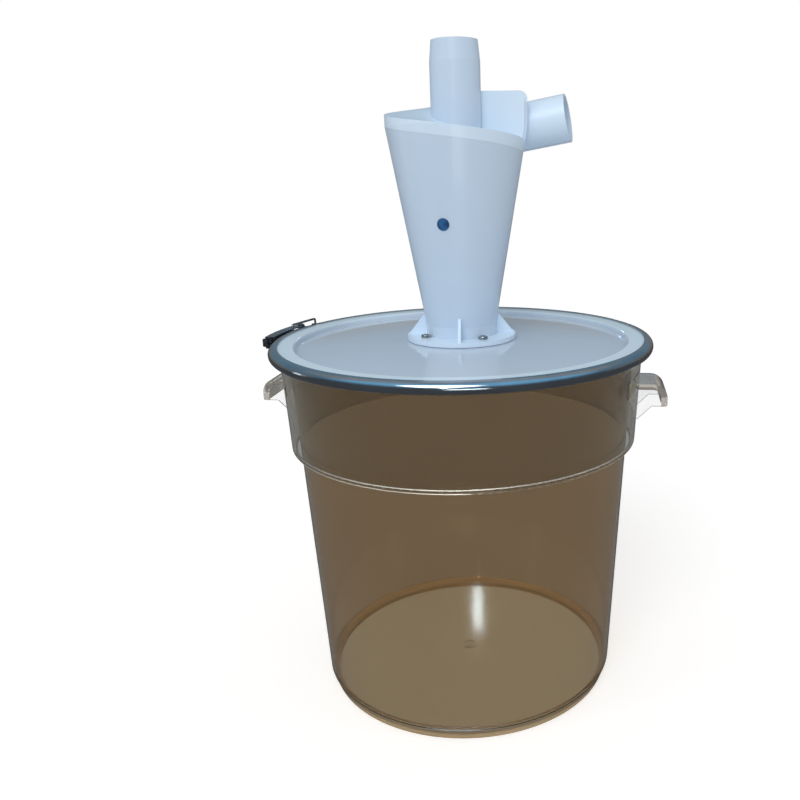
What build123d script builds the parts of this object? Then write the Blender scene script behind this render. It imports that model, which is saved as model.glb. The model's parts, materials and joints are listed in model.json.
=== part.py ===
"""Cyclone dust separator bolted on the lid of a clear hoop bucket."""
import os
from math import cos, radians, sin

from build123d import *

os.makedirs("parts", exist_ok=True)

# All sizes are millimetres. Z is up, the origin is on the floor under the bucket axis,
# +X is the inlet side, and the two handles lie a few degrees off the X axis.

# Fits
glue_gap = 0.15
seat_gap = 0.2
seam_gap = 0.08
running_gap = 0.05
free_gap = 0.4

# Bucket
wall_root = 161.4
wall_draft = 0.054
wall = 3.0
floor_top = 9.5
floor_thickness = 4.0
floor_fillet = 9.0
gate_radius = 8.0
gate_line = 1.4
gate_height = 0.6
foot_radius = 157.4
foot_flare = 1.4
foot_height = 4.5
heel_height = 13.0
rim_top = 375.0
rim_thickness = 4.0
rim_overhang = 5.066
skirt_gap = 5.7
skirt_bottom = 275.0
skirt_bead = 2.2
skirt_bead_height = 4.8

# Handles
handle_angle = -9.0
handle_width = 50.0
handle_top = 338.0
handle_tip = 314.5
handle_depth = 28.15
handle_bend = 15.0
handle_thickness = 6.0
handle_web = 2.5
handle_web_drop = 14.0
handle_web_run = 16.0

# Lid and its gasket
gasket_thickness = 3.0
gasket_width = 15.2
lid_thickness = 3.0
lid_recess = 5.0
land_width = 19.2
land_slope = 3.0
dome_rise = 4.4
dome_flat = 62.0
lid_hole = 34.5

# Clamp hoop
hoop_sheet = 1.2
hoop_room = 5.0
hoop_reach = 9.5
hoop_corner = 6.0
hoop_split = 2.3

# Latch, angles are counted from the lever pin
latch_angle = 154.5
pin_radius = 2.0
pin_head_radius = 3.2
pin_head = 0.6
sheet = 1.5
saddle_height = 9.0
saddle_wrap = 1.5
bracket_from = -1.7
bracket_to = 7.0
keeper_from = -10.5
keeper_to = -5.2
lever_start = 2.3
lever_end = 20.5
lever_depth = 10.1
thumb_reach = 3.0
wire_radius = 1.25
bail_bend = 2.2
bail_pivot = 16.0
bail_length = 44.0
tooth_reach = 9.0
tooth_width = 2.2
tooth_height = 7.0
rivet_radius = 1.5
rivet_head_radius = 2.6
rivet_head = 1.0
rivet_tail_radius = 1.8
rivet_tail_gap = 0.35

# Cyclone body
shell = 2.6
flange_gasket_thickness = 1.0
flange_gasket_inset = 1.5
flange_radius = 57.4
flange_thickness = 4.5
throat_radius = 37.0
throat_rise = 11.1
shoulder_radius = 71.2
cone_height = 198.0
rib_rise = 21.6
rib_foot = 56.0
rib_thickness = 3.0
rib_turn = -3.0

# Helical roof
shoulder_band = 33.0
roof_drop = 49.3
roof_flat = 48.0
roof_thickness = 2.5
band_height = 11.0
step_wall = 2.5
corner_radius = 8.0

# Ports
tube_radius = 25.0
tube_bore = 21.5
tube_rise = 46.5
tube_end_radius = 23.0
tube_taper = 20.0
finder_length = 88.0
port_radius = 22.0
port_depth = 40.0
inlet_radius = 24.0
inlet_angle = -14.5
inlet_rise = 9.6
inlet_inset = 0.2
inlet_length = 34.8
inlet_drop = 25.5
inlet_depth = 36.0

# Fasteners
screw_radius = 2.5
screw_circle = 43.0
screw_turn = 30.0
screw_hole = 2.75
screw_head_radius = 5.0
screw_head = 3.2
screw_length = 18.0
washer_radius = 6.0
washer_thickness = 1.0
nut_flats = 8.0
nut_thickness = 4.0

# Badge
badge_radius = 6.1
badge_thickness = 0.5
badge_rise = 105.5
badge_angle = -106.0

# Derived heights
rim_bottom = rim_top - rim_thickness
land_bottom = rim_top + gasket_thickness
land_top = land_bottom + lid_thickness
panel_top = land_top - lid_recess
panel_bottom = panel_top - lid_thickness
centre_top = panel_top + dome_rise
centre_bottom = centre_top - lid_thickness
flange_bottom = centre_top + flange_gasket_thickness
flange_top = flange_bottom + flange_thickness
hoop_bottom = rim_bottom - hoop_sheet
hoop_top = land_top + hoop_sheet
hoop_middle = (hoop_bottom + hoop_top) / 2
throat_top = flange_top + throat_rise
rib_top = flange_top + rib_rise
badge_height = throat_top + badge_rise
shoulder_height = throat_top + cone_height
roof_high = shoulder_height + shoulder_band
tube_top = roof_high + tube_rise
finder_bottom = roof_high - finder_length
inlet_height = roof_high - inlet_drop
inlet_offset = shoulder_radius - inlet_radius - inlet_inset
inlet_reach = shoulder_radius + inlet_length
cone_slope = (shoulder_radius - throat_radius) / (shoulder_height - throat_top)
roof_low = roof_high - roof_drop
roof_pitch = roof_drop * 360 / (360 - roof_flat)


def wall_radius(height):
    """Outer radius of the bucket wall at a height."""
    return wall_root + wall_draft * height


def skirt_radius(height):
    """Outer radius of the skirt at a height."""
    return wall_radius(height) + skirt_gap + wall


# Derived radii
rim_radius = skirt_radius(rim_bottom) + rim_overhang
handle_reach = skirt_radius(handle_top) + handle_depth
gasket_inner = rim_radius - gasket_width
land_inner = rim_radius - land_width
recess_radius = land_inner - land_slope
hoop_radius = rim_radius + hoop_room + hoop_sheet
hoop_lip = hoop_radius - hoop_reach


def skirt_solid(gap):
    """Filled skirt outline as a solid, grown by a gap."""
    with BuildPart() as solid:
        with BuildSketch(Plane.XZ):
            with BuildLine():
                Polyline(
                    (0, skirt_bottom),
                    (skirt_radius(skirt_bottom) + gap, skirt_bottom),
                    (skirt_radius(rim_top) + gap, rim_top),
                    (0, rim_top),
                    close=True,
                )
            make_face()
        revolve(axis=Axis.Z)
    return solid.part


def radial_plane(angle):
    """Upright plane through the axis, local x points outward, local y up."""
    turn = radians(angle)
    return Plane(origin=(0, 0, 0), x_dir=(cos(turn), sin(turn), 0), z_dir=(sin(turn), -cos(turn), 0))


def level_plane(angle, height):
    """Level plane at a height, local x points outward at the angle."""
    turn = radians(angle)
    return Plane(origin=(0, 0, height), x_dir=(cos(turn), sin(turn), 0), z_dir=(0, 0, 1))


def roof_tool(shift, inner, outer, height):
    """Solid over (height > 0) or under (height < 0) the roof surface moved by shift."""
    with BuildPart() as tool:
        with BuildLine(Plane.XY.offset(roof_low + shift)) as spiral:
            Helix(roof_pitch, roof_drop, (inner + outer) / 2, lefthand=True)
        with BuildSketch(radial_plane(0)):
            with Locations(((inner + outer) / 2, roof_low + shift + height / 2)):
                Rectangle(outer - inner, abs(height))
        sweep(path=spiral.line, is_frenet=True)
        with BuildSketch(radial_plane(0)):
            with Locations(((inner + outer) / 2, roof_high + shift + height / 2)):
                Rectangle(outer - inner, abs(height))
        revolve(axis=Axis.Z, revolution_arc=roof_flat)
    return tool.part


def corner_tool(radius):
    """Solid that rounds the roof corner over the inlet, the rounding runs along Y."""
    edge = shoulder_radius - corner_radius
    level = roof_high - corner_radius
    with BuildPart() as tool:
        with BuildSketch(Plane.XZ):
            with Locations((edge, level)):
                Rectangle(60, 60, align=(Align.MIN, Align.MIN))
                Circle(radius, mode=Mode.SUBTRACT)
        extrude(amount=-60)
    return tool.part


def cone_profile(shrink, top):
    """Half section of the filled cyclone outline, moved inward by shrink."""
    return [
        (0, flange_bottom - shrink),
        (throat_radius - shrink, flange_bottom - shrink),
        (throat_radius - shrink, throat_top),
        (shoulder_radius - shrink, shoulder_height),
        (shoulder_radius - shrink, top),
        (0, top),
    ]


def cyclone_solid(shrink, top):
    """Filled cyclone outline as a solid."""
    with BuildPart() as solid:
        with BuildSketch(Plane.XZ):
            with BuildLine():
                Polyline(*cone_profile(shrink, top), close=True)
            make_face()
        revolve(axis=Axis.Z)
    return solid.part


# Bucket wall and floor on a foot ring
foot_inner = foot_radius - wall
floor_bottom = floor_top - floor_thickness
floor_edge = wall_radius(floor_top) - wall
bucket_outline = [
    (0, floor_bottom),
    (foot_inner, floor_bottom),
    (foot_inner, 0),
    (foot_radius, 0),
    (foot_radius + foot_flare, foot_height),
    (wall_radius(heel_height), heel_height),
    (wall_radius(rim_bottom), rim_bottom),
    (wall_radius(rim_bottom) - wall, rim_bottom),
    (floor_edge, floor_top),
    (0, floor_top),
]
with BuildPart() as bucket:
    with BuildSketch(Plane.XZ) as bucket_section:
        with BuildLine():
            Polyline(*bucket_outline, close=True)
        make_face()
        inside_corner = bucket_section.vertices().sort_by_distance((floor_edge, floor_top))
        fillet(inside_corner[0], radius=floor_fillet)
        foot_corner = bucket_section.vertices().sort_by_distance((foot_radius, 0))
        fillet(foot_corner[0], radius=1.4)
    revolve(axis=Axis.Z)
    with BuildSketch(Plane.XY.offset(floor_top)):
        Circle(gate_radius)
        Circle(gate_radius - gate_line, mode=Mode.SUBTRACT)
        Circle(2 * gate_line)
    extrude(amount=gate_height)
bucket.part.label = "bucket"
export_step(bucket.part, "parts/bucket.step")

# Rim flange and skirt of the bucket with a bead along its lower edge
bead_top = skirt_bottom + skirt_bead_height
bead_inner = wall_radius(skirt_bottom) + skirt_gap - skirt_bead
collar_outline = [
    (wall_radius(rim_bottom) - wall, rim_bottom),
    (wall_radius(rim_bottom) + skirt_gap, rim_bottom),
    (wall_radius(bead_top) + skirt_gap, bead_top),
    (bead_inner, bead_top - skirt_bead),
    (bead_inner, skirt_bottom),
    (skirt_radius(skirt_bottom), skirt_bottom),
    (skirt_radius(rim_bottom), rim_bottom),
    (rim_radius, rim_bottom),
    (rim_radius, rim_top),
    (wall_radius(rim_top) - wall, rim_top),
]
with BuildPart() as bucket_collar:
    with BuildSketch(Plane.XZ) as collar_section:
        with BuildLine():
            Polyline(*collar_outline, close=True)
        make_face()
        rim_corners = collar_section.vertices().filter_by_position(Axis.X, rim_radius - 0.1, rim_radius + 0.1)
        fillet(rim_corners, radius=1.2)
        bead_corners = collar_section.vertices().filter_by_position(Axis.Y, skirt_bottom - 0.1, skirt_bottom + 0.1)
        fillet(bead_corners, radius=1.2)
    revolve(axis=Axis.Z)
bucket_collar.part.label = "bucket_collar"
export_step(bucket_collar.part, "parts/bucket_collar.step")

# Two finger handles on the skirt, bent straps with a web at each end
handle_root = skirt_radius(handle_tip) - skirt_gap
bend_inner = handle_bend - handle_thickness
bend_level = handle_top - handle_bend
bend_place = handle_reach - handle_bend
strap_inner = handle_reach - handle_thickness
strap_middle = handle_reach - handle_thickness / 2
web_top = handle_top - handle_thickness / 2
web_low = handle_tip - handle_web_drop
web_outline = [
    (handle_root, web_top),
    (bend_place, web_top),
    (strap_middle, bend_level),
    (strap_middle, handle_tip),
    (handle_reach - handle_web_run, handle_tip),
    (skirt_radius(web_low), web_low),
    (handle_root, web_low),
]
with BuildPart() as bucket_handles:
    for side in (handle_angle, handle_angle + 180):
        with BuildSketch(radial_plane(side)) as strap_section:
            with BuildLine():
                Polyline((handle_root, handle_top), (bend_place, handle_top))
                RadiusArc((bend_place, handle_top), (handle_reach, bend_level), handle_bend)
                Polyline(
                    (handle_reach, bend_level),
                    (handle_reach, handle_tip),
                    (strap_inner, handle_tip),
                    (strap_inner, bend_level),
                )
                RadiusArc((strap_inner, bend_level), (bend_place, handle_top - handle_thickness), -bend_inner)
                Polyline(
                    (bend_place, handle_top - handle_thickness),
                    (handle_root, handle_top - handle_thickness),
                    (handle_root, handle_top),
                )
            make_face()
            tip_corners = strap_section.vertices().filter_by_position(Axis.Y, handle_tip - 0.1, handle_tip + 0.1)
            fillet(tip_corners, radius=1.8)
        extrude(amount=handle_width / 2, both=True)
        for end in (handle_width / 2, handle_web - handle_width / 2):
            with BuildSketch(radial_plane(side).offset(end)):
                with BuildLine():
                    Polyline(*web_outline, close=True)
                make_face()
            extrude(amount=-handle_web)
    add(skirt_solid(seam_gap), mode=Mode.SUBTRACT)
bucket_handles.part.label = "bucket_handles"
export_step(bucket_handles.part, "parts/bucket_handles.step")

# Lid with raised land and recessed panel that rises to the cyclone seat
land_outline = [
    (recess_radius + 2.2, panel_bottom),
    (land_inner + 1.6, land_bottom),
    (rim_radius, land_bottom),
    (rim_radius, land_top),
    (land_inner, land_top),
    (recess_radius, panel_top),
]
seat_outline = [
    (dome_flat, centre_top),
    (lid_hole, centre_top),
    (lid_hole, centre_bottom),
    (dome_flat, centre_bottom),
]
with BuildPart() as lid:
    with BuildSketch(Plane.XZ) as lid_section:
        with BuildLine():
            Polyline(*land_outline)
            TangentArc(seat_outline[0], land_outline[-1], tangent=(1, 0))
            Polyline(*seat_outline)
            TangentArc(seat_outline[-1], land_outline[0], tangent=(1, 0))
        make_face()
        land_edge = lid_section.vertices().sort_by_distance((land_inner, land_top))
        fillet(land_edge[0], radius=1.5)
    revolve(axis=Axis.Z)
    with BuildSketch(Plane.XY.offset(centre_top)):
        with PolarLocations(screw_circle, 4, start_angle=screw_turn):
            Circle(screw_hole)
    extrude(amount=-lid_thickness, mode=Mode.SUBTRACT)
lid.part.label = "lid"
export_step(lid.part, "parts/lid.step")

# Soft ring between the lid land and the bucket rim
with BuildPart() as lid_gasket:
    with BuildSketch(Plane.XY.offset(rim_top)):
        Circle(rim_radius)
        Circle(gasket_inner, mode=Mode.SUBTRACT)
    extrude(amount=gasket_thickness)
lid_gasket.part.label = "lid_gasket"
export_step(lid_gasket.part, "parts/lid_gasket.step")

# Split hoop of C section
hoop_inner = hoop_radius - hoop_sheet
split_from = latch_angle - 2 * hoop_split
split_to = latch_angle - hoop_split
rivet_angles = [
    latch_angle + bracket_from + 4.5,
    latch_angle + bracket_to - 1.2,
    latch_angle + keeper_from + 1.2,
    latch_angle + keeper_to - 0.7,
]
with BuildPart() as clamp_band:
    with BuildSketch(radial_plane(split_to)) as band_section:
        with BuildLine():
            Polyline(
                (hoop_lip, hoop_top),
                (hoop_radius, hoop_top),
                (hoop_radius, hoop_bottom),
                (hoop_lip, hoop_bottom),
                (hoop_lip, rim_bottom),
                (hoop_inner, rim_bottom),
                (hoop_inner, land_top),
                (hoop_lip, land_top),
                close=True,
            )
        make_face()
        outer_corners = band_section.vertices().filter_by_position(Axis.X, hoop_radius - 0.1, hoop_radius + 0.1)
        fillet(outer_corners, radius=hoop_corner)
        inner_corners = band_section.vertices().filter_by_position(Axis.X, hoop_inner - 0.1, hoop_inner + 0.1)
        fillet(inner_corners, radius=hoop_corner - hoop_sheet)
    revolve(axis=Axis.Z, revolution_arc=360 - hoop_split)
    for rivet_angle in rivet_angles:
        with BuildSketch(radial_plane(rivet_angle - 90).offset(-hoop_radius - 5)):
            with Locations((0, hoop_middle)):
                Circle(rivet_radius + running_gap)
        extrude(amount=10, mode=Mode.SUBTRACT)
clamp_band.part.label = "clamp_band"
export_step(clamp_band.part, "parts/clamp_band.step")

# Lever bracket, a saddle on the hoop with two lugs round the pin
saddle_inner = hoop_radius + glue_gap
saddle_outer = saddle_inner + sheet
saddle_width = saddle_outer - hoop_radius + saddle_wrap
hoop_print = (2 * (hoop_reach + glue_gap), hoop_top - hoop_bottom + 2 * glue_gap, hoop_corner + glue_gap)
saddle_low = hoop_middle - saddle_height / 2
saddle_high = hoop_middle + saddle_height / 2
pin_place = saddle_outer + 4.0
lug_radius = 4.2
with BuildPart() as lever_bracket:
    with BuildSketch(radial_plane(latch_angle + bracket_from)):
        with Locations((hoop_radius - saddle_wrap, saddle_low)):
            Rectangle(saddle_width, saddle_height, align=(Align.MIN, Align.MIN))
        with Locations((hoop_lip, hoop_middle)):
            RectangleRounded(*hoop_print, mode=Mode.SUBTRACT)
    revolve(axis=Axis.Z, revolution_arc=bracket_to - bracket_from)
    for lug_level in (saddle_low, saddle_high - sheet):
        with BuildSketch(level_plane(latch_angle, lug_level)):
            with Locations((pin_place, 0)):
                Circle(lug_radius)
            with Locations((saddle_inner + 0.5, 0)):
                Rectangle(pin_place - saddle_inner - 0.5, 2 * lug_radius, align=(Align.MIN, Align.CENTER))
        extrude(amount=sheet)
    with BuildSketch(level_plane(latch_angle, saddle_low)):
        with Locations((pin_place, 0)):
            Circle(pin_radius + running_gap)
    extrude(amount=saddle_height, mode=Mode.SUBTRACT)
    for rivet_angle in rivet_angles[:2]:
        with BuildSketch(radial_plane(rivet_angle - 90).offset(-hoop_radius - 5)):
            with Locations((0, hoop_middle)):
                Circle(rivet_radius + running_gap)
        extrude(amount=10, mode=Mode.SUBTRACT)
lever_bracket.part.label = "lever_bracket"
export_step(lever_bracket.part, "parts/lever_bracket.step")

# Lever pin with a flat head at both ends
lever_low = saddle_low - free_gap - sheet
lever_high = saddle_high + free_gap + sheet
with BuildPart() as lever_pin:
    with BuildSketch(level_plane(latch_angle, lever_low - free_gap)):
        with Locations((pin_place, 0)):
            Circle(pin_radius)
    extrude(amount=lever_high - lever_low + 2 * free_gap)
    for head_level in (lever_low - free_gap - pin_head, lever_high + free_gap):
        with BuildSketch(level_plane(latch_angle, head_level)):
            with Locations((pin_place, 0)):
                Circle(pin_head_radius)
        extrude(amount=pin_head)
lever_pin.part.label = "lever_pin"
export_step(lever_pin.part, "parts/lever_pin.step")

# Latch lever, a channel that follows the hoop and ends in a thumb tab
lever_inner = saddle_outer + free_gap
lever_outer = lever_inner + lever_depth
with BuildPart() as latch_lever:
    with BuildSketch(radial_plane(latch_angle + lever_start)):
        with BuildLine():
            Polyline(
                (lever_inner, lever_high),
                (lever_outer, lever_high),
                (lever_outer, lever_low),
                (lever_inner, lever_low),
                (lever_inner, lever_low + sheet),
                (lever_outer - sheet, lever_low + sheet),
                (lever_outer - sheet, lever_high - sheet),
                (lever_inner, lever_high - sheet),
                close=True,
            )
        make_face()
    revolve(axis=Axis.Z, revolution_arc=lever_end - lever_start)
    for flange_level in (lever_low, lever_high - sheet):
        with BuildSketch(level_plane(latch_angle, flange_level)):
            with Locations((pin_place, 0)):
                Circle(lug_radius)
                Rectangle(2 * lug_radius, bail_pivot * 0.6, align=(Align.CENTER, Align.MIN))
        extrude(amount=sheet)
    with BuildSketch(radial_plane(latch_angle + lever_end)):
        with Locations((lever_outer - sheet, hoop_middle)):
            RectangleRounded(thumb_reach + sheet, saddle_height, 1.4, align=(Align.MIN, Align.CENTER))
    revolve(axis=Axis.Z, revolution_arc=-0.5)
    with BuildSketch(level_plane(latch_angle, lever_low)):
        with Locations((pin_place, 0)):
            Circle(pin_radius + running_gap)
        with Locations((pin_place, bail_pivot)):
            Circle(wire_radius + running_gap)
    extrude(amount=lever_high - lever_low, mode=Mode.SUBTRACT)
latch_lever.part.label = "latch_lever"
export_step(latch_lever.part, "parts/latch_lever.step")

# Latch bail, one closed wire loop through the lever
bail_half = lever_high - hoop_middle + free_gap + pin_head + free_gap + wire_radius
bail_turn = radians(latch_angle)
bail_plane = Plane(
    origin=(pin_place * cos(bail_turn), pin_place * sin(bail_turn), hoop_middle),
    x_dir=(-sin(bail_turn), cos(bail_turn), 0),
    z_dir=(cos(bail_turn), sin(bail_turn), 0),
)
with BuildPart() as latch_bail:
    with BuildLine(bail_plane) as bail_path:
        FilletPolyline(
            (bail_pivot, -bail_half),
            (bail_pivot, bail_half),
            (bail_pivot - bail_length, bail_half),
            (bail_pivot - bail_length, -bail_half),
            radius=bail_bend,
            close=True,
        )
    with BuildSketch(Plane(origin=bail_path.line @ 0, z_dir=bail_path.line % 0)):
        Circle(wire_radius)
    sweep(path=bail_path.line)
latch_bail.part.label = "latch_bail"
export_step(latch_bail.part, "parts/latch_bail.step")

# Keeper, a saddle with an upright tooth for the bail
tooth_face = bail_pivot - bail_length + wire_radius + free_gap
with BuildPart() as keeper:
    with BuildSketch(radial_plane(latch_angle + keeper_from)):
        with Locations((hoop_radius - saddle_wrap, saddle_low)):
            Rectangle(saddle_width, saddle_height, align=(Align.MIN, Align.MIN))
        with Locations((hoop_lip, hoop_middle)):
            RectangleRounded(*hoop_print, mode=Mode.SUBTRACT)
    revolve(axis=Axis.Z, revolution_arc=keeper_to - keeper_from)
    with BuildSketch(level_plane(latch_angle, hoop_middle - tooth_height / 2)):
        with Locations((saddle_inner - 0.9, tooth_face)):
            Rectangle(tooth_reach, tooth_width, align=(Align.MIN, Align.MIN))
    extrude(amount=tooth_height)
    for rivet_angle in rivet_angles[2:]:
        with BuildSketch(radial_plane(rivet_angle - 90).offset(-hoop_radius - 5)):
            with Locations((0, hoop_middle)):
                Circle(rivet_radius + running_gap)
        extrude(amount=10, mode=Mode.SUBTRACT)
keeper.part.label = "keeper"
export_step(keeper.part, "parts/keeper.step")

# Rivets of bracket and keeper
with BuildPart() as latch_rivets:
    for rivet_angle in rivet_angles:
        with BuildSketch(radial_plane(rivet_angle - 90).offset(-saddle_outer)):
            with Locations((0, hoop_middle)):
                Circle(rivet_radius)
        extrude(amount=saddle_outer - hoop_inner + rivet_tail_gap)
        with BuildSketch(radial_plane(rivet_angle - 90).offset(-saddle_outer)):
            with Locations((0, hoop_middle)):
                Circle(rivet_head_radius)
        extrude(amount=-rivet_head)
        with BuildSketch(radial_plane(rivet_angle - 90).offset(-hoop_inner + rivet_tail_gap)):
            with Locations((0, hoop_middle)):
                Circle(rivet_tail_radius)
        extrude(amount=rivet_head)
latch_rivets.part.label = "latch_rivets"
export_step(latch_rivets.part, "parts/latch_rivets.step")

# Inlet axis, tangential at the back and inclined with the roof
inlet_turn = radians(inlet_angle)
inlet_tilt = radians(inlet_rise)
inlet_direction = Vector(
    cos(inlet_turn) * cos(inlet_tilt),
    sin(inlet_turn) * cos(inlet_tilt),
    sin(inlet_tilt),
)
inlet_end = Vector(
    -inlet_offset * sin(inlet_turn) + inlet_reach * cos(inlet_turn),
    inlet_offset * cos(inlet_turn) + inlet_reach * sin(inlet_turn),
    inlet_height,
)
inlet_mouth = Plane(origin=inlet_end, z_dir=inlet_direction)

# Cyclone body, cone with a window for the inlet
seam_high = roof_high - band_height - seam_gap
body_top_cut = roof_tool(-band_height - seam_gap, 15, shoulder_radius + 0.1, 90)
body_cavity = cyclone_solid(shell, roof_high + 10)
with BuildPart() as cyclone_body:
    with BuildSketch(Plane.XZ):
        with BuildLine():
            Polyline(*cone_profile(0, seam_high), close=True)
        make_face()
    revolve(axis=Axis.Z)
    add(body_top_cut, mode=Mode.SUBTRACT)
    add(body_cavity, mode=Mode.SUBTRACT)
    with BuildSketch(inlet_mouth):
        Circle(tube_bore)
    extrude(amount=-inlet_reach, mode=Mode.SUBTRACT)
cyclone_body.part.label = "cyclone_body"
export_step(cyclone_body.part, "parts/cyclone_body.step")

# Bottom flange with four ribs up the cone
with BuildPart() as cyclone_flange:
    with BuildSketch(Plane.XY.offset(flange_bottom)):
        Circle(flange_radius)
        Circle(throat_radius + seam_gap, mode=Mode.SUBTRACT)
        with PolarLocations(screw_circle, 4, start_angle=screw_turn):
            Circle(screw_hole, mode=Mode.SUBTRACT)
    extrude(amount=flange_thickness)
    for quarter in range(4):
        with BuildSketch(radial_plane(rib_turn + 90 * quarter)):
            with BuildLine():
                Polyline(
                    (throat_radius - 1, flange_top - 1),
                    (rib_foot, flange_top - 1),
                    (rib_foot, flange_top),
                    (throat_radius + cone_slope * (rib_top - throat_top), rib_top),
                    (throat_radius - 1, rib_top),
                    close=True,
                )
            make_face()
        extrude(amount=rib_thickness / 2, both=True)
    add(cyclone_solid(-seam_gap, roof_high), mode=Mode.SUBTRACT)
cyclone_flange.part.label = "cyclone_flange"
export_step(cyclone_flange.part, "parts/cyclone_flange.step")

# Inlet pipe, saddle end glued round the inlet window
with BuildPart() as inlet_pipe:
    with BuildSketch(inlet_mouth):
        Circle(inlet_radius)
        Circle(tube_bore, mode=Mode.SUBTRACT)
    extrude(amount=-inlet_reach)
    with BuildSketch(inlet_mouth):
        Circle(port_radius)
    extrude(amount=-inlet_depth, mode=Mode.SUBTRACT)
    add(cyclone_solid(-seam_gap, roof_high + 10), mode=Mode.SUBTRACT)
inlet_pipe.part.label = "inlet_pipe"
export_step(inlet_pipe.part, "parts/inlet_pipe.step")

# Cyclone cover, helical roof with rim band and step wall
cover_above = roof_tool(0, 15, shoulder_radius + 10, 90)
cover_below = roof_tool(-band_height, 15, shoulder_radius + 10, flange_bottom - roof_high - 10)
cavity_above = roof_tool(-roof_thickness, 15, shoulder_radius + 10, 90)
cover_corner = corner_tool(corner_radius)
cavity_corner = corner_tool(corner_radius - roof_thickness)
with BuildPart() as cover_cavity:
    add(cyclone_solid(shell, roof_high + 10))
    add(cavity_above, mode=Mode.SUBTRACT)
    add(cavity_corner, mode=Mode.SUBTRACT)
wall_limit = cyclone_solid(shell + seat_gap, roof_high - roof_thickness)
with BuildPart() as step_plate:
    with BuildSketch(Plane.XZ):
        with Locations((tube_radius - 8, roof_low - band_height)):
            Rectangle(
                shoulder_radius,
                roof_drop + band_height,
                align=(Align.MIN, Align.MIN),
            )
    extrude(amount=-step_wall)
    add(wall_limit, mode=Mode.INTERSECT)
    add(cavity_corner, mode=Mode.SUBTRACT)
with BuildPart() as cyclone_cover:
    add(cyclone_solid(0, roof_high))
    add(cover_above, mode=Mode.SUBTRACT)
    add(cover_below, mode=Mode.SUBTRACT)
    add(cover_corner, mode=Mode.SUBTRACT)
    add(cover_cavity.part, mode=Mode.SUBTRACT)
    add(step_plate.part)
    with BuildSketch(Plane.XY.offset(flange_bottom)):
        Circle(tube_radius + glue_gap)
    extrude(amount=tube_top - flange_bottom, mode=Mode.SUBTRACT)
cyclone_cover.part.label = "cyclone_cover"
export_step(cyclone_cover.part, "parts/cyclone_cover.step")

# Outlet tube, tapered at the top, vortex finder at the bottom
with BuildPart() as outlet_tube:
    with BuildSketch(Plane.XZ):
        with BuildLine():
            Polyline(
                (tube_bore, finder_bottom),
                (tube_radius, finder_bottom),
                (tube_radius, tube_top - tube_taper),
                (tube_end_radius, tube_top),
                (port_radius, tube_top),
                (port_radius, tube_top - port_depth),
                (tube_bore, tube_top - port_depth),
                close=True,
            )
        make_face()
    revolve(axis=Axis.Z)
outlet_tube.part.label = "outlet_tube"
export_step(outlet_tube.part, "parts/outlet_tube.step")

# Gasket under the flange
with BuildPart() as flange_gasket:
    with BuildSketch(Plane.XY.offset(centre_top)):
        Circle(flange_radius - flange_gasket_inset)
        Circle(lid_hole, mode=Mode.SUBTRACT)
        with PolarLocations(screw_circle, 4, start_angle=screw_turn):
            Circle(screw_hole, mode=Mode.SUBTRACT)
    extrude(amount=flange_gasket_thickness)
flange_gasket.part.label = "flange_gasket"
export_step(flange_gasket.part, "parts/flange_gasket.step")

# Four pan head screws with cross recess
with BuildPart() as flange_screws:
    with BuildSketch(Plane.XY.offset(flange_top)):
        with PolarLocations(screw_circle, 4, start_angle=screw_turn):
            Circle(screw_radius)
    extrude(amount=-screw_length)
    with BuildSketch(Plane.XY.offset(flange_top)):
        with PolarLocations(screw_circle, 4, start_angle=screw_turn):
            Circle(screw_head_radius)
    extrude(amount=screw_head)
    head_top = flange_top + screw_head
    head_rims = flange_screws.edges().filter_by_position(Axis.Z, head_top - 0.1, head_top + 0.1)
    fillet(head_rims, radius=1.4)
    with BuildSketch(Plane.XY.offset(flange_top + screw_head)):
        with PolarLocations(screw_circle, 4, start_angle=screw_turn):
            Rectangle(5.2, 1.1)
            Rectangle(1.1, 5.2)
    extrude(amount=-1.6, mode=Mode.SUBTRACT)
flange_screws.part.label = "flange_screws"
export_step(flange_screws.part, "parts/flange_screws.step")

# Washers and nuts under the lid
with BuildPart() as flange_washers:
    with BuildSketch(Plane.XY.offset(centre_bottom)):
        with PolarLocations(screw_circle, 4, start_angle=screw_turn):
            Circle(washer_radius)
            Circle(screw_hole, mode=Mode.SUBTRACT)
    extrude(amount=-washer_thickness)
flange_washers.part.label = "flange_washers"
export_step(flange_washers.part, "parts/flange_washers.step")

with BuildPart() as flange_nuts:
    with BuildSketch(Plane.XY.offset(centre_bottom - washer_thickness)):
        with PolarLocations(screw_circle, 4, start_angle=screw_turn):
            RegularPolygon(nut_flats / 2, 6, major_radius=False)
            Circle(screw_radius + running_gap, mode=Mode.SUBTRACT)
    extrude(amount=-nut_thickness)
flange_nuts.part.label = "flange_nuts"
export_step(flange_nuts.part, "parts/flange_nuts.step")

# Plain round badge on the cone
badge_place = throat_radius + cone_slope * (badge_height - throat_top)
badge_turn = radians(badge_angle)
badge_plane = Plane(
    origin=(badge_place * cos(badge_turn), badge_place * sin(badge_turn), badge_height),
    z_dir=(cos(badge_turn), sin(badge_turn), -cone_slope),
)
with BuildPart() as badge:
    with BuildSketch(badge_plane.offset(-4)):
        Circle(badge_radius)
    extrude(amount=8)
    add(cyclone_solid(-glue_gap - badge_thickness, roof_high), mode=Mode.INTERSECT)
    add(cyclone_solid(-glue_gap, roof_high), mode=Mode.SUBTRACT)
badge.part.label = "badge"
export_step(badge.part, "parts/badge.step")
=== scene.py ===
import json
from math import cos, radians, sin

import bmesh
import bpy
from mathutils import Matrix, Vector

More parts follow.
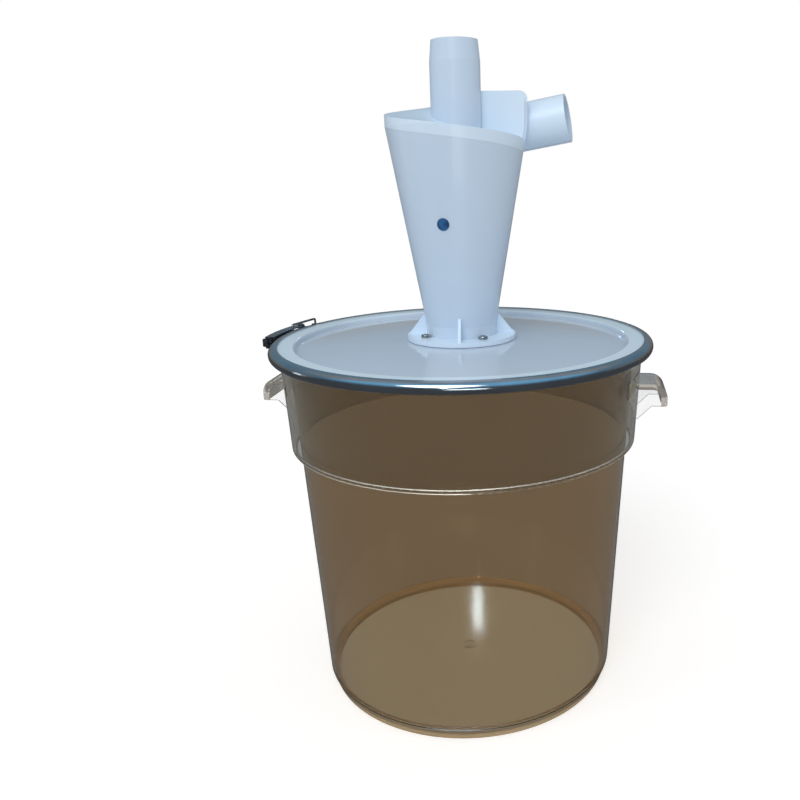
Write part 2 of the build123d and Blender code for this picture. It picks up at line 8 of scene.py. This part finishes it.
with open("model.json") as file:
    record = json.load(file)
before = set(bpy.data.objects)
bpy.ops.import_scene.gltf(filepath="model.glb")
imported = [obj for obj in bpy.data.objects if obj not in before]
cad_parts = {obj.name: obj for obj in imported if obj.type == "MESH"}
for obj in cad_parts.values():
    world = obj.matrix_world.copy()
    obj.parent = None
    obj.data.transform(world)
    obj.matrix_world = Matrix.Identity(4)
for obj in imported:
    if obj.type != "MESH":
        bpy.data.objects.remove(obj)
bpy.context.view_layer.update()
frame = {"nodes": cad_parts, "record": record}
nodes = frame["nodes"]
scene = bpy.context.scene

# Lid: the rim land begins between these radii
land_border = (0.1735, 0.1775)

# Bucket: slope of the wall, and the height where the floor ends
wall_slope = 0.054
bottom_border = (0.0100, 0.0130)

# Skirt and the bead on its lower edge: where the skirt begins and where the bead's inner side ends,
# both as the radius less the wall's slope, and the bead's top
skirt_border = (0.1640, 0.1650)
bead_border = (0.1670, 0.1680)
bead_top = (0.2775, 0.2800)

# Heel of the bucket: faces below this height and outside this radius
heel_top = 0.0131
heel_inside = 0.1525

# Handles: their turn, where the straps bend, the inner radius of the bend and a soft border
handle_angle = radians(-9.0)
strap_reach = 0.2015
strap_height = 0.3230
strap_radius = 0.0090
strap_fade = 0.0005
web_cover = 0.12

# What the lamps' light keeps on its way through the bucket and the handles
bucket_lamp_tint = (0.80, 0.76, 0.70)
handle_lamp_tint = (0.85, 0.83, 0.80)

# Floor: radius, its colour, its colour in reflections, and its glow in view
floor_radius = 14.0
floor_colour = (0.80, 0.80, 0.80)
floor_reflected = (0.10, 0.11, 0.125)
floor_glow = 0.40

# Camera as fitted to the photo: place in metres, turns in radians, lengths in pixels of its picture
camera_place = (0.0, -0.8584, 0.5511)
camera_yaw = -0.04033
camera_pitch = 0.2734
camera_roll = -0.01564
camera_focal = 815.3
camera_centre = 495.3
picture = 800.0
sensor = 36.0


# Node helpers
class Graph:
    """Short calls that add nodes to a node tree."""

    def __init__(self, tree):
        self.tree = tree
        self.tree.nodes.clear()

    def node(self, kind, **settings):
        made = self.tree.nodes.new(kind)
        for key, value in settings.items():
            setattr(made, key, value)
        return made

    def link(self, source, target):
        self.tree.links.new(source, target)

    def span(self, source, low, high, to_low=0.0, to_high=1.0):
        made = self.node("ShaderNodeMapRange", clamp=True, interpolation_type="SMOOTHSTEP")
        self.link(source, made.inputs["Value"])
        made.inputs["From Min"].default_value = low
        made.inputs["From Max"].default_value = high
        made.inputs["To Min"].default_value = to_low
        made.inputs["To Max"].default_value = to_high
        return made.outputs["Result"]

    def sums(self, operation, first, second=0.0):
        made = self.node("ShaderNodeMath", operation=operation)
        for socket, value in zip(made.inputs, (first, second)):
            if isinstance(value, (int, float)):
                socket.default_value = value
            else:
                self.link(value, socket)
        return made.outputs["Value"]

    def between(self, share, first, second):
        made = self.node("ShaderNodeMix", data_type="RGBA")
        self.link(share, made.inputs["Factor"])
        for socket, value in ((made.inputs[6], first), (made.inputs[7], second)):
            if isinstance(value, tuple):
                socket.default_value = (*value, 1.0)
            else:
                self.link(value, socket)
        return made.outputs[2]

    def shaders(self, share, first, second):
        made = self.node("ShaderNodeMixShader")
        self.link(share, made.inputs["Fac"])
        self.link(first, made.inputs[1])
        self.link(second, made.inputs[2])
        return made.outputs["Shader"]

    def ray_share(self, *names):
        """One where the ray is of one of the named kinds."""
        path = self.node("ShaderNodeLightPath")
        total = path.outputs[names[0]]
        for name in names[1:]:
            total = self.sums("MAXIMUM", total, path.outputs[name])
        return total


class Tree(Graph):
    """A material with one principled shader and short calls for its texture nodes."""

    def __init__(self, name):
        self.material = bpy.data.materials.new(name)
        self.material.use_nodes = True
        super().__init__(self.material.node_tree)
        self.output = self.node("ShaderNodeOutputMaterial")
        self.shader = self.node("ShaderNodeBsdfPrincipled")
        self.link(self.shader.outputs["BSDF"], self.output.inputs["Surface"])
        place = self.node("ShaderNodeTexCoord")
        self.place = place.outputs["Object"]
        self.normal = place.outputs["Normal"]

    def put(self, **values):
        for key, value in values.items():
            self.shader.inputs[key.replace("_", " ")].default_value = value

    def feed(self, name, source):
        self.link(source, self.shader.inputs[name])

    def stretched(self, x, y, z):
        mapping = self.node("ShaderNodeMapping")
        mapping.inputs["Scale"].default_value = (x, y, z)
        self.link(self.place, mapping.inputs["Vector"])
        return mapping.outputs["Vector"]

    def noise(self, scale, detail=3.0, rough=0.55, source=None, distortion=0.0):
        made = self.node("ShaderNodeTexNoise")
        made.inputs["Scale"].default_value = scale
        made.inputs["Detail"].default_value = detail
        made.inputs["Roughness"].default_value = rough
        made.inputs["Distortion"].default_value = distortion
        self.link(source or self.place, made.inputs["Vector"])
        return made.outputs["Fac"]

    def cells(self, scale):
        made = self.node("ShaderNodeTexVoronoi")
        made.inputs["Scale"].default_value = scale
        self.link(self.place, made.inputs["Vector"])
        return made.outputs["Distance"]

    def along(self, source, direction):
        made = self.node("ShaderNodeVectorMath", operation="DOT_PRODUCT")
        self.link(source, made.inputs[0])
        made.inputs[1].default_value = direction
        return made.outputs["Value"]

    def polar(self):
        """Distance from the upright axis, and the height."""
        parts = self.node("ShaderNodeSeparateXYZ")
        self.link(self.place, parts.inputs["Vector"])
        flat = self.node("ShaderNodeCombineXYZ")
        self.link(parts.outputs["X"], flat.inputs["X"])
        self.link(parts.outputs["Y"], flat.inputs["Y"])
        size = self.node("ShaderNodeVectorMath", operation="LENGTH")
        self.link(flat.outputs["Vector"], size.inputs[0])
        return size.outputs["Value"], parts.outputs["Z"]

    def mottled(self, pattern, first, second, low=0.3, high=0.7):
        """Two colours mixed by a pattern."""
        return self.between(self.span(pattern, low, high), first, second)

    def colour(self, socket):
        self.feed("Base Color", socket)

    def roughness(self, source, low, high, to_low, to_high):
        self.feed("Roughness", self.span(source, low, high, to_low, to_high))

    def bumps(self, *layers):
        """Each layer is a height, how strong it is and how deep it is in metres."""
        last = None
        for height, strength, depth in layers:
            made = self.node("ShaderNodeBump")
            made.inputs["Strength"].default_value = strength
            made.inputs["Distance"].default_value = depth
            self.link(height, made.inputs["Height"])
            if last is not None:
                self.link(last, made.inputs["Normal"])
            last = made.outputs["Normal"]
        self.feed("Normal", last)

    def lets_lamps_through(self, tint):
        """Light from the lamps goes through the plastic without being bent."""
        through = self.node("ShaderNodeBsdfTransparent")
        through.inputs["Color"].default_value = (*tint, 1.0)
        both = self.shaders(
            self.ray_share("Is Shadow Ray"), self.shader.outputs["BSDF"], through.outputs["BSDF"]
        )
        self.link(both, self.output.inputs["Surface"])


# Materials
def white_plastic(name, dull, bright):
    m = Tree(name)
    m.put(IOR=1.5, Coat_Weight=0.20, Coat_Roughness=0.06)
    flow = m.noise(3.0, 3.0, 0.5, m.stretched(1.0, 1.0, 0.35), 0.4)
    m.colour(m.mottled(flow, dull, bright))
    m.roughness(m.noise(24.0, 4.0, 0.6), 0.3, 0.7, 0.30, 0.38)
    m.bumps((m.noise(12.0, 2.0), 0.06, 0.0010), (m.noise(1500.0, 2.0), 0.010, 0.0002))
    return m.material


def lid_plastic():
    m = Tree("lid_plastic")
    m.put(IOR=1.5)
    radius, _ = m.polar()
    clouds = m.noise(6.0, 3.0, 0.5)
    panel = m.mottled(clouds, (0.500, 0.605, 0.720), (0.525, 0.630, 0.745))
    backed = m.mottled(clouds, (0.685, 0.850, 0.970), (0.710, 0.870, 0.985))
    m.colour(m.between(m.span(radius, *land_border), panel, backed))
    m.roughness(m.noise(26.0, 5.0, 0.6), 0.3, 0.75, 0.05, 0.12)
    m.bumps((m.noise(10.0, 2.0), 0.08, 0.0015), (m.noise(1200.0, 2.0), 0.03, 0.0002))
    return m.material


def clear_plastic():
    m = Tree("clear_plastic")
    m.put(IOR=1.42, Transmission_Weight=1.0)
    radius, height = m.polar()
    outside = m.sums("SUBTRACT", radius, m.sums("MULTIPLY", height, wall_slope))
    wall = m.mottled(m.noise(3.0, 2.0), (0.560, 0.458, 0.335), (0.595, 0.488, 0.360))
    bottom = m.span(height, *bottom_border, 1.0, 0.0)
    low = m.between(bottom, wall, (0.800, 0.760, 0.620))
    skirt = m.span(outside, *skirt_border)
    m.colour(m.between(skirt, low, (0.665, 0.640, 0.570)))
    worn = m.span(m.noise(14.0, 4.0, 0.6), 0.35, 0.8, 0.010, 0.030)
    within = m.span(outside, *bead_border, 0.30, 0.08)
    below = m.span(height, *bead_top, 1.0, 0.0)
    bead = m.sums("MULTIPLY", m.sums("MULTIPLY", skirt, within), below)
    dull = m.sums("ADD", m.sums("MULTIPLY", bottom, 0.05), bead)
    m.feed("Roughness", m.sums("ADD", worn, dull))
    m.bumps((m.noise(7.0, 2.0, 0.5, m.stretched(1.0, 1.0, 0.4)), 0.06, 0.002))
    m.lets_lamps_through(bucket_lamp_tint)
    return m.material


def heel_plastic():
    """The thick heel, which is deeper in tone because it is seen along the floor."""
    m = Tree("heel_plastic")
    m.put(IOR=1.42, Transmission_Weight=0.6)
    streaks = m.noise(9.0, 4.0, 0.6, m.stretched(1.0, 1.0, 12.0))
    m.colour(m.mottled(streaks, (0.575, 0.440, 0.265), (0.655, 0.510, 0.320)))
    m.roughness(m.noise(30.0, 4.0, 0.6), 0.35, 0.8, 0.08, 0.20)
    m.bumps((m.noise(20.0, 2.0), 0.06, 0.001))
    m.lets_lamps_through(bucket_lamp_tint)
    return m.material


def handle_plastic():
    """Straps and edges in a deeper tone than the thin webs, which are nearly clear."""
    m = Tree("handle_plastic")
    m.put(IOR=1.42, Transmission_Weight=1.0)
    _, height = m.polar()
    reach = m.sums("ABSOLUTE", m.along(m.place, (cos(handle_angle), sin(handle_angle), 0.0)))
    outward = m.sums("MAXIMUM", m.sums("SUBTRACT", reach, strap_reach))
    upward = m.sums("MAXIMUM", m.sums("SUBTRACT", height, strap_height))
    squares = m.sums("ADD", m.sums("POWER", outward, 2.0), m.sums("POWER", upward, 2.0))
    outer = m.span(m.sums("SQRT", squares), strap_radius - strap_fade, strap_radius + strap_fade)
    across = m.along(m.normal, (-sin(handle_angle), cos(handle_angle), 0.0))
    edge = m.span(m.sums("ABSOLUTE", across), 0.3, 0.7, 1.0, 0.0)
    strap = m.sums("MAXIMUM", outer, edge)
    thick = m.mottled(m.noise(40.0, 4.0, 0.6), (0.410, 0.380, 0.335), (0.500, 0.470, 0.425))
    m.colour(m.between(strap, (0.995, 0.995, 0.985), thick))
    m.feed("Alpha", m.span(strap, 0.0, 1.0, web_cover, 1.0))
    m.roughness(m.noise(60.0, 4.0, 0.6), 0.35, 0.8, 0.010, 0.050)
    m.bumps((m.noise(35.0, 3.0), 0.10, 0.001))
    m.lets_lamps_through(handle_lamp_tint)
    return m.material


def hoop_steel():
    m = Tree("hoop_steel")
    m.put(Metallic=1.0)
    m.colour(m.mottled(m.noise(30.0, 5.0, 0.65), (0.39, 0.42, 0.44), (0.46, 0.49, 0.51)))
    m.roughness(m.noise(60.0, 6.0, 0.7), 0.3, 0.75, 0.08, 0.18)
    rolled = m.noise(60.0, 3.0, 0.6, m.stretched(1.0, 1.0, 60.0))
    m.bumps((rolled, 0.03, 0.0003), (m.noise(16.0, 2.0), 0.04, 0.001))
    return m.material


def latch_steel():
    m = Tree("latch_steel")
    m.put(Metallic=1.0)
    m.colour(m.mottled(m.noise(70.0, 6.0, 0.7), (0.16, 0.16, 0.17), (0.40, 0.41, 0.43), 0.35))
    m.roughness(m.noise(140.0, 5.0, 0.7), 0.3, 0.75, 0.15, 0.34)
    m.bumps((m.noise(600.0, 3.0), 0.08, 0.0003))
    return m.material


def zinc_steel():
    m = Tree("zinc_steel")
    m.put(Metallic=1.0)
    m.colour(m.mottled(m.noise(220.0, 5.0, 0.7), (0.24, 0.24, 0.24), (0.56, 0.56, 0.54), 0.35))
    m.roughness(m.noise(400.0, 4.0, 0.7), 0.3, 0.75, 0.12, 0.28)
    m.bumps((m.noise(1200.0, 2.0), 0.06, 0.0002))
    return m.material


def seal_foam():
    m = Tree("seal_foam")
    m.put(IOR=1.45)
    pores = m.cells(900.0)
    m.colour(m.mottled(pores, (0.62, 0.66, 0.70), (0.78, 0.81, 0.84), 0.1, 0.6))
    m.roughness(m.noise(200.0, 4.0), 0.3, 0.7, 0.65, 0.85)
    m.bumps((pores, 0.25, 0.0004))
    return m.material


def badge_film():
    m = Tree("badge_film")
    m.put(IOR=1.5, Coat_Weight=0.5, Coat_Roughness=0.05)
    m.colour(m.mottled(m.noise(150.0, 3.0), (0.012, 0.050, 0.170), (0.030, 0.130, 0.300)))
    m.roughness(m.noise(300.0, 3.0), 0.3, 0.7, 0.12, 0.25)
    m.bumps((m.noise(500.0, 2.0), 0.05, 0.0002))
    return m.material


finishes = {
    "white_plastic": white_plastic("white_plastic", (0.545, 0.675, 0.825), (0.575, 0.700, 0.845)),
    "lid_plastic": lid_plastic(),
    "clear_plastic": clear_plastic(),
    "hoop_steel": hoop_steel(),
    "latch_steel": latch_steel(),
    "zinc_steel": zinc_steel(),
    "seal_foam": seal_foam(),
    "badge_film": badge_film(),
}
for subpart in frame["record"]["subparts"]:
    piece = nodes[subpart["node"]]
    piece.data.materials.clear()
    piece.data.materials.append(finishes[subpart["material_slot"]])

# Lighter copy of the white plastic for the cover, its inlet pipe and the flange: partly the lighter
# tone of the separate cover moulding, partly painted top light, since the up-facing roof and flange
# are made lighter to stand for the light falling on them from above.
cover_tone_and_painted_top_light = white_plastic("cover_tone_and_painted_top_light", (0.655, 0.805, 0.955), (0.685, 0.830, 0.975))
for name in ("cyclone_cover", "cyclone_flange", "inlet_pipe"):
    nodes[name].data.materials[0] = cover_tone_and_painted_top_light
nodes["bucket_handles"].data.materials[0] = handle_plastic()

bucket = nodes["bucket"].data
bucket.materials.append(heel_plastic())
for face in bucket.polygons:
    if face.center.z < heel_top and face.center.xy.length > heel_inside:
        face.material_index = 1


# Floor, world and lamps
def make_floor():
    mesh = bpy.data.meshes.new("floor")
    shape = bmesh.new()
    bmesh.ops.create_circle(shape, cap_ends=True, segments=96, radius=floor_radius)
    shape.to_mesh(mesh)
    shape.free()
    floor = bpy.data.objects.new("floor", mesh)
    scene.collection.objects.link(floor)
    m = Tree("floor_paper")
    m.put(Roughness=0.9, Specular_IOR_Level=0.0, Emission_Color=(1, 1, 1, 1))
    m.colour(m.between(m.ray_share("Is Glossy Ray"), floor_colour, floor_reflected))
    in_view = m.ray_share("Is Camera Ray", "Is Transmission Ray")
    m.feed("Emission Strength", m.sums("MULTIPLY", in_view, floor_glow))
    mesh.materials.append(m.material)


def make_world():
    """White in view, an even ambient light, and a dim room in reflections."""
    world = bpy.data.worlds.new("studio")
    scene.world = world
    world.use_nodes = True
    w = Graph(world.node_tree)
    parts = w.node("ShaderNodeSeparateXYZ")
    w.link(w.node("ShaderNodeTexCoord").outputs["Generated"], parts.inputs["Vector"])
    across, upward = parts.outputs["Y"], parts.outputs["Z"]
    front = w.between(w.span(upward, 0.15, 0.70), (0.09, 0.12, 0.16), (0.26, 0.60, 0.92))
    low = w.between(w.span(upward, 0.05, 0.30), (0.21, 0.19, 0.165), (0.16, 0.27, 0.37))
    rest = w.between(w.span(upward, 0.45, 0.75), low, (0.36, 0.39, 0.42))
    room = w.between(w.span(across, -0.10, 0.15), front, rest)

    def light(strength, colour=None):
        made = w.node("ShaderNodeBackground")
        made.inputs["Strength"].default_value = strength
        made.inputs["Color"].default_value = (1.0, 1.0, 1.0, 1.0)
        if colour is not None:
            w.link(colour, made.inputs["Color"])
        return made.outputs["Background"]

    last = light(0.50)
    last = w.shaders(w.ray_share("Is Glossy Ray"), last, light(1.0, room))
    last = w.shaders(w.ray_share("Is Transmission Ray"), last, light(1.0))
    last = w.shaders(w.ray_share("Is Camera Ray"), last, light(1.0))
    w.link(last, w.node("ShaderNodeOutputWorld").inputs["Surface"])


def aimed(thing, spot, target):
    thing.location = Vector(spot)
    thing.rotation_euler = (Vector(target) - Vector(spot)).to_track_quat("-Z", "Y").to_euler()


def make_lamps():
    """A broad key and two soft lamps, and bright panes that only show as reflections."""
    middle = (0.0, 0.0, 0.35)
    hoop_front = (0.0, -0.2, 0.376)
    sun = bpy.data.lights.new("key_sun", "SUN")
    sun.energy = 1.25
    sun.angle = radians(40.0)
    key = bpy.data.objects.new("key_sun", sun)
    scene.collection.objects.link(key)
    aimed(key, (-0.6, -2.2, 2.4), middle)
    white = (1.0, 1.0, 1.0)
    sky = (0.85, 0.95, 1.0)
    blue = (0.30, 0.52, 1.0)
    for name, spot, target, width, height, power, colour, seen_by in (
        ("soft_left", (-1.7, -0.9, 1.3), middle, 0.4, 1.4, 4.0, white, "diffuse"),
        ("soft_right", (1.8, -0.7, 1.1), middle, 0.3, 1.3, 3.0, white, "diffuse"),
        ("window_front", (0.03, -1.00, 0.265), hoop_front, 0.34, 0.15, 0.50, sky, "glossy"),
        ("window_high", (-0.35, -2.00, 1.05), middle, 0.05, 0.50, 1.50, sky, "glossy"),
        ("window_left", (-1.90, 0.35, 0.36), middle, 0.25, 0.45, 0.50, sky, "glossy"),
        ("strip_back", (0.03, 1.6, 0.885), middle, 0.030, 0.14, 1.0, blue, "glossy"),
    ):
        data = bpy.data.lights.new(name, "AREA")
        data.shape = "RECTANGLE"
        data.size = width
        data.size_y = height
        data.energy = power
        data.color = colour
        lamp = bpy.data.objects.new(name, data)
        lamp.visible_diffuse = seen_by == "diffuse"
        lamp.visible_glossy = seen_by == "glossy"
        scene.collection.objects.link(lamp)
        aimed(lamp, spot, target)


def make_camera():
    forward = Vector((
        -sin(camera_yaw) * cos(camera_pitch),
        cos(camera_yaw) * cos(camera_pitch),
        -sin(camera_pitch),
    ))
    level = Vector((cos(camera_yaw), sin(camera_yaw), 0.0))
    upright = level.cross(forward)
    right = level * cos(camera_roll) + upright * sin(camera_roll)
    up = upright * cos(camera_roll) - level * sin(camera_roll)
    data = bpy.data.cameras.new("camera")
    data.sensor_width = sensor
    data.sensor_fit = "HORIZONTAL"
    data.lens = camera_focal / picture * sensor
    data.shift_x = (picture / 2 - camera_centre) / picture
    data.clip_start = 0.01
    camera = bpy.data.objects.new("camera", data)
    turn = Matrix((right, up, -forward)).transposed()
    camera.matrix_world = Matrix.Translation(camera_place) @ turn.to_4x4()
    scene.collection.objects.link(camera)
    scene.camera = camera


make_floor()
make_world()
make_lamps()
make_camera()
scene.view_settings.view_transform = "Standard"
